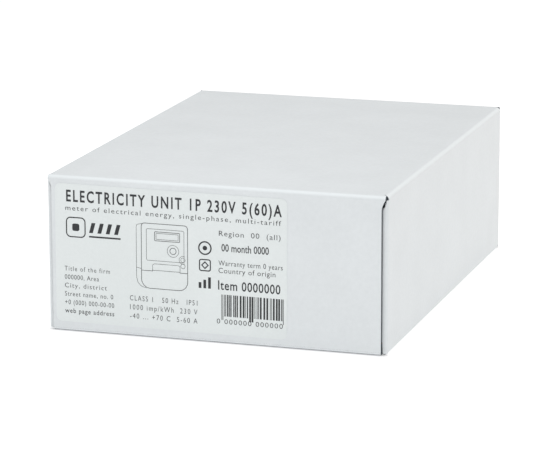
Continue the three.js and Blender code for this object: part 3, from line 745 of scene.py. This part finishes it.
# Three plain marks: a ring round a dot, a diamond in a square, and three bars of rising height
def marks(x, zs):
    cx = x - carton["width"] / 2
    first = [ribbon(circle(cx, zs[0], 2.7)[:-1], 0.6, True), outlinePlate(circle(cx, zs[0], 1.0)[:-1])]
    square = roundedOutline(np.array([cx - 2.4, zs[1] - 2.4]), np.array([cx + 2.4, zs[1] + 2.4]), 0.8)
    diamond = np.array([[cx - 1.4, zs[1]], [cx, zs[1] - 1.4], [cx + 1.4, zs[1]], [cx, zs[1] + 1.4]])
    second = [ribbon(square, 0.5, True), ribbon(diamond, 0.5, True)]
    foot, lefts = zs[2] - 2.3, cx - 2.8 + np.arange(3) * 2.1
    third = [quad(x, x + 1.2, foot, foot + 2.5 + k * 1.2) for k, x in enumerate(lefts)]
    return first + second + third


# A plain maker's device: an outlined tile, and beside it four heavy slanted strokes over a rule
def badge(left, low, size, right):
    x = left - carton["width"] / 2
    foot, inset = np.array([x, low]), 2.6
    tile = roundedOutline(foot, foot + size, size * 0.22)
    inner = roundedOutline(foot + inset, foot + size - inset, 0.8)
    parts = [ribbon(tile, 0.5, True), outlinePlate(inner)]
    first, last = x + size + 1.8, right - carton["width"] / 2
    parts.append(quad(first, last, low + 0.2, low + 0.9))
    for start in np.linspace(first, last - 2.9, 4):
        foot, head = low + 2.2, low + 6.6
        slope = np.array([[start, foot], [start + 1.7, foot], [start + 2.9, head], [start + 1.2, head]])
        parts.append(outlinePlate(slope, rings=(0.0, 1.0)))
    return parts


# The meter drawn in line: front outline, a strip of its side, nameplate, display, port, buttons, seam
def meterDrawing(left, low, height):
    scale = height / 175
    side = 2.0
    ox, oz = left + side - carton["width"] / 2 + 64 * scale, low + 87.5 * scale

    def at(x, z):
        return (ox + x * scale, oz + z * scale)

    def corner(x, z, radius, start, stop):
        return [at(*point) for point in circle(x, z, radius, start, stop, 7)]

    def box(x0, x1, z0, z1, radius=3.0, foot=None):
        foot = radius if foot is None else foot
        top = z1 - radius
        points = corner(x1 - radius, top, radius, 0, 90) + corner(x0 + radius, top, radius, 90, 180)
        low = z0 + foot
        return points + corner(x0 + foot, low, foot, 180, 270) + corner(x1 - foot, low, foot, 270, 360)

    def ring(x, z, radius, width):
        return ribbon([at(*point) for point in circle(x, z, radius)[:-1]], width, True)

    thin, heavy = 0.16, 0.24
    back = [(-56, 87.5), (-66, 85), (-76, 82), (-78, 76), (-78, -58), (-74, -74), (-64, -84), (-50, -87.5)]
    return [
        ribbon(box(-64, 64, -87.5, 87.5, 9, 24), heavy, True),
        ribbon([at(*point) for point in back], thin),
        ribbon([at(-78, -33), at(-64, -36)], thin),
        ribbon([at(-64, -40), at(-33, -40), at(-33, -37)], heavy),
        ribbon([at(-33, -38), at(43, -38)], thin),
        ribbon([at(43, -37), at(43, -40), at(64, -40)], heavy),
        ribbon(box(-50, 54, -12, 73, 4), thin, True),
        ribbon(box(-27, 42, 42, 66, 2), heavy, True),
        ribbon(box(-23, 38, 46, 62, 1), thin, True),
        ring(23.7, 17, 16, thin),
        ring(23.7, 17, 8.5, heavy),
        ring(51, -5, 6, thin),
        ribbon([at(*point) for point in circle(51, -5, 10.5, 60, 300, 14)], thin),
        ring(51, -21.5, 6, thin),
        ribbon(box(-33, 43, -38, -20.5, 6, 1), thin, True),
    ]


makeLabel()
printPiece(
    "labelPrint",
    barCode(78.3, 105.9, 12.1, 21.5) + marks(71.0, (41.0, 33.6, 25.9)) + badge(9.0, 41.5, 8.4, 33.4)
    + meterDrawing(40.7, 21.65, 28.2),
    [setText(*line) for line in printLines],
)
print("label printed")


tray = {"length": 176.0, "low": 1.5, "top": 47.5, "inner": 65.7, "outer": 73.5, "lap": 5.7}


# One folded strip: under, up, over and down each beam, with the floor between them, drawn along y
def makeTray():
    tight, loose = 0.6, 1.8
    rise = tray["top"] - tray["low"] - loose * 2
    over = tray["outer"] - tray["inner"] - loose - tight
    floorRun = (tray["inner"] - loose) * 2
    inTurn, outTurn = (foldLength(tight, 90), -90), (foldLength(loose, 90), 90)
    beam = [(tray["lap"], 0), inTurn, (rise, 0), inTurn, (over, 0), inTurn, (rise, 0), outTurn]
    runs = beam + [(floorRun, 0)] + beam[::-1]
    start = (tray["lap"] - tray["outer"] + loose, tray["low"] + board["thick"])

    def place(u, v, d):
        point, normal = pathAt(u, start, 180, runs)
        section = point - normal * d[..., None]
        return np.stack([section[..., 0], v, section[..., 1]], -1)

    half = tray["length"] / 2
    alongY = np.array([-half, 0.0, half])
    piece = corrugated("foldedInsert", pathSteps(runs, 30.0), alongY, place, False, brownBoard)
    finishPiece(piece, "kraft_board", ["insert_tray"], "carton")


booklet = {
    "halfX": 59.0, "halfY": 82.0, "low": 61.35, "sheets": 10, "leaf": 0.14, "pitch": 0.185,
    "creep": 0.12, "foldWidth": 9.0, "pinch": 0.1,
}


# A stapled booklet: leaves stacked on the meter, drawn together by a tenth at the fold, and each inner
# leaf's edge creeping out past the next
def makeBooklet():
    leaves, sheets = [], booklet["sheets"]
    x = np.linspace(-booklet["halfX"], booklet["halfX"], 25)
    y = np.linspace(-booklet["halfY"], booklet["halfY"], 3)
    grid = np.stack(np.meshgrid(x, y, indexing="ij"), -1)
    fold = np.clip((x + booklet["halfX"]) / booklet["foldWidth"], 0, 1)[:, None] * np.ones(3)
    middle = booklet["low"] + sheets * booklet["pitch"] / 2
    for k in range(sheets):
        creep = booklet["creep"] * (sheets - 1 - k if k > sheets / 2 else k)
        inward = np.clip(grid[..., 0], None, booklet["halfX"] - creep)
        spread = booklet["low"] + k * booklet["pitch"]
        z = middle + (spread - middle) * (1 - booklet["pinch"] * (1 - fold))
        outer = np.stack([inward, grid[..., 1], z + booklet["leaf"]], -1)
        inner = np.stack([inward, grid[..., 1], z], -1)
        leaves.append((*slabArrays(outer, inner, grid), 0, 0))
    piece = makeMesh("instructionBooklet", leaves, [bookPaper])
    finishPiece(piece, "booklet_paper", ["instruction_booklet"], "carton")


makeTray()
makeBooklet()
print("insert and booklet made")


# Each moulding and fitting of the meter is its solid with softened edges and its own finish
def softened(node, material, slotName, radius, body="carton"):
    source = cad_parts[node]
    mesh = source.data.copy()
    mesh.materials.clear()
    mesh.materials.append(material)
    mesh.polygons.foreach_set("material_index", np.zeros(len(mesh.polygons), np.int32))
    work = bmesh.new()
    work.from_mesh(mesh)
    bmesh.ops.remove_doubles(work, verts=work.verts, dist=2e-6)
    bmesh.ops.dissolve_limit(work, angle_limit=math.radians(1), verts=work.verts, edges=work.edges)
    work.to_mesh(mesh)
    work.free()
    piece = addObject(node + "_finished", mesh)
    bevel = piece.modifiers.new("softEdges", "BEVEL")
    bevel.width = radius * mm
    bevel.segments = 2
    bevel.limit_method = "ANGLE"
    bevel.angle_limit = math.radians(35)
    bevel.use_clamp_overlap = True
    bpy.context.view_layer.update()
    ready = bpy.data.meshes.new_from_object(piece.evaluated_get(bpy.context.evaluated_depsgraph_get()))
    piece.modifiers.clear()
    piece.data = ready
    ready.polygons.foreach_set("use_smooth", np.ones(len(ready.polygons), bool))
    ready.set_sharp_from_angle(angle=math.radians(40))
    return finishPiece(piece, slotName, [node], body)


meterPieces = {
    "meter_base": (housingAbs, "housing_plastic", 0.5),
    "front_cover": (housingAbs, "housing_plastic", 0.6),
    "terminal_cover": (coverAbs, "cover_plastic", 0.6),
    "compartment_lid": (housingAbs, "housing_plastic", 0.4),
    "hanging_bracket": (zincSteel, "steel", 0.15),
    "faceplate": (nameplateFilm, "nameplate_plastic", 0.12),
    "lcd_window": (clearCarbonate, "clear_plastic", 0.15),
    "lcd_frame": (greyAbs, "grey_plastic", 0.15),
    "lcd_panel": (displayGlass, "display_glass", 0.1),
    "optical_port_ring": (zincSteel, "steel", 0.12),
    "optical_port_lens": (clearCarbonate, "clear_plastic", 0.2),
    "optical_transceiver": (blackNylon, "black_plastic", 0.2),
    "upper_switch": (blackNylon, "black_plastic", 0.15),
    "lower_switch": (blackNylon, "black_plastic", 0.15),
    "terminal_block": (blackNylon, "black_plastic", 0.25),
    "live_in_bar": (barCopper, "copper", 0.12),
    "live_out_bar": (barCopper, "copper", 0.12),
    "neutral_bar": (barCopper, "copper", 0.12),
    "current_shunt": (zincSteel, "steel", 0.1),
    "load_switch": (blackNylon, "black_plastic", 0.3),
    "main_board": (boardMask, "circuit_board", 0.08),
    "metering_chip": (blackNylon, "black_plastic", 0.08),
    "power_transformer": (blackNylon, "black_plastic", 0.3),
    "supply_capacitor": (blackNylon, "black_plastic", 0.5),
    "surge_varistor": (blueSleeve, "blue_plastic", 0.8),
    "backup_battery": (blueSleeve, "blue_plastic", 0.6),
    "radio_board": (boardMask, "circuit_board", 0.08),
    "radio_shield": (zincSteel, "steel", 0.2),
}
for node, (material, slotName, radius) in meterPieces.items():
    softened(node, material, slotName, radius)
for name in ("upper_button", "lower_button"):
    softened(name, greyAbs, "grey_plastic", 0.5, name)
for k in range(1, 5):
    softened(f"terminal_clamp_{k}", clampBrass, "brass", 0.25)
print("meter finished")


screwKinds = {
    "terminal_cover_screw": {"head": 3.6, "rise": 2.6, "shank": 1.4, "pitch": 0.6},
    "board_screw": {"head": 2.8, "rise": 2.0, "shank": 1.4, "pitch": 0.6},
    "terminal_screw": {"head": 3.0, "rise": 6.0, "shank": 2.0, "pitch": 0.7},
}
cut = {"half": 0.42, "wall": 0.08, "rim": 0.55, "depth": 0.9, "thread": 0.12}


# The screw's radius at angle a and height z: the head's full radius with a rounded rim, then the shank
# with a thread, r - t / 2 + t / 2 sin(2 pi z / p + a). The slot drops the head's top where |y| < w / 2.
def makeScrew(node, kind):
    low, high = (np.array(corner) * 1000 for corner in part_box(node))
    cx, cy = (low[0] + high[0]) / 2, (low[1] + high[1]) / 2
    head, rise, shank, pitch = (kind[key] for key in ("head", "rise", "shank", "pitch"))
    head = min(head, (high[0] - low[0]) / 2)
    neck = high[2] - rise
    angles = np.linspace(0, 2 * math.pi, 49)
    threadZ = np.arange(low[2] + 0.6, neck - 0.2, pitch / 4)
    rows = [(low[2], 0.0, 0.0), (low[2], shank * 0.6, 0.0), (low[2] + 0.5, shank * 0.92, 0.0)]
    top, root = high[2], shank - cut["thread"]
    rows += [(z, root, cut["thread"]) for z in threadZ]
    rims = [(neck, root), (neck, head - 0.3), (neck + 0.15, head - 0.06), (neck + 0.35, head)]
    rims += [(top - 0.5, head), (top - 0.2, head - 0.12), (top - 0.04, head - 0.4)]
    rows += [(z, r, 0.0) for z, r in rims + [(top, r) for r in np.linspace(head - 0.7, 0.0, 12)]]
    z, radius, thread = (np.array(column)[:, None] for column in zip(*rows))
    r = radius + thread * np.sin(2 * math.pi * z / pitch + angles)
    x, y = r * np.cos(angles), r * np.sin(angles)
    slotted = np.clip((cut["half"] - np.abs(y)) / cut["wall"], 0, 1) * (z > top - cut["rim"])
    points = np.stack([cx + x, cy + y, z - slotted * cut["depth"]], -1)
    index = np.arange(r.size).reshape(r.shape)
    faces = np.stack([index[:-1, :-1], index[:-1, 1:], index[1:, 1:], index[1:, :-1]], -1).reshape(-1, 4)
    flat = points.reshape(-1, 3)
    uvs = np.stack(np.broadcast_arrays(angles * head, z), -1).reshape(-1, 2)
    part = (flat, outward(flat, faces), uvs, 0, 0, 0)
    piece = makeMesh(node + "_turned", [part], [zincSteel], 38)
    finishPiece(piece, "steel", [node], "carton")


for node in sorted(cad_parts):
    for kindName, kind in screwKinds.items():
        if node.startswith(kindName + "_"):
            makeScrew(node, kind)
print("screws turned")


studio = {"world": 0.71, "floorGlow": 0.39, "floorGrey": "#f2f2f2", "reach": 12}


def makeStudio():
    white = (1.0, 1.0, 1.0, 1.0)
    finish = {"Base_Color": linear(studio["floorGrey"]), "Roughness": 0.9, "Specular_IOR_Level": 0.0}
    glow = {"Emission_Color": white, "Emission_Strength": studio["floorGlow"]}
    material = startMaterial("mattWhiteSweep", **finish, **glow)[0]
    mesh = bpy.data.meshes.new("studioFloor")
    far = studio["reach"]
    mesh.from_pydata([(-far, -far, 0), (far, -far, 0), (far, far, 0), (-far, far, 0)], [], [(0, 1, 2, 3)])
    mesh.materials.append(material)
    floor = addObject("studioFloor", mesh)
    world = bpy.data.worlds.new("softRoom")
    bpy.context.scene.world = world
    world.use_nodes = True
    background = world.node_tree.nodes["Background"].inputs
    background["Color"].default_value = white
    background["Strength"].default_value = studio["world"]
    bpy.context.scene.view_settings.view_transform = "Standard"


def makeLight(name, place, target, size, power, colour):
    light = bpy.data.lights.new(name, "AREA")
    light.shape, light.size, light.energy, light.color = "SQUARE", size, power, colour
    holder = addObject(name, light)
    holder.location = place
    holder.rotation_mode = "QUATERNION"
    holder.rotation_quaternion = (Vector(target) - Vector(place)).to_track_quat("-Z", "Y")


view = {"lens": 198.79, "azimuth": 17.478, "elevation": 13.206, "roll": -0.138, "distance": 1.3673}
shift = {"aside": -0.00489, "above": -0.00555}


# The camera looks back along (sin a cos e, -cos a cos e, sin e) from the carton's middle
def makeCamera():
    azimuth, elevation, roll = (math.radians(view[key]) for key in ("azimuth", "elevation", "roll"))
    level = math.cos(elevation)
    back = Vector((math.sin(azimuth) * level, -math.cos(azimuth) * level, math.sin(elevation)))
    flatRight = Vector((math.cos(azimuth), math.sin(azimuth), 0))
    flatUp = back.cross(flatRight)
    right = flatRight * math.cos(roll) + flatUp * math.sin(roll)
    up = flatUp * math.cos(roll) - flatRight * math.sin(roll)
    middle = Vector((0, 0, carton["height"] / 2 * mm))
    place = middle + back * view["distance"] + right * shift["aside"] + up * shift["above"]
    data = bpy.data.cameras.new("camera")
    data.lens, data.sensor_width, data.clip_end = view["lens"], 36.0, 60.0
    camera = addObject("camera", data)
    turn = Matrix((right, up, back)).transposed().to_4x4()
    camera.matrix_world = Matrix.Translation(place) @ turn
    bpy.context.scene.camera = camera


makeStudio()
makeLight("overTop", (0.0, 0.05, 0.6), (0, 0.05, 0), 0.3, 0.62, (1.0, 1.0, 1.0))
makeLight("frontEdge", (0.0, -0.19, 0.24), (0, -0.1, 0.03), 0.16, 0.06, (0.97, 0.99, 1.0))
makeLight("rightBack", (0.6, 0.5, 0.4), (0.05, 0, 0.03), 0.5, 0.45, (1.0, 0.8, 0.62))
makeCamera()
print("studio ready")
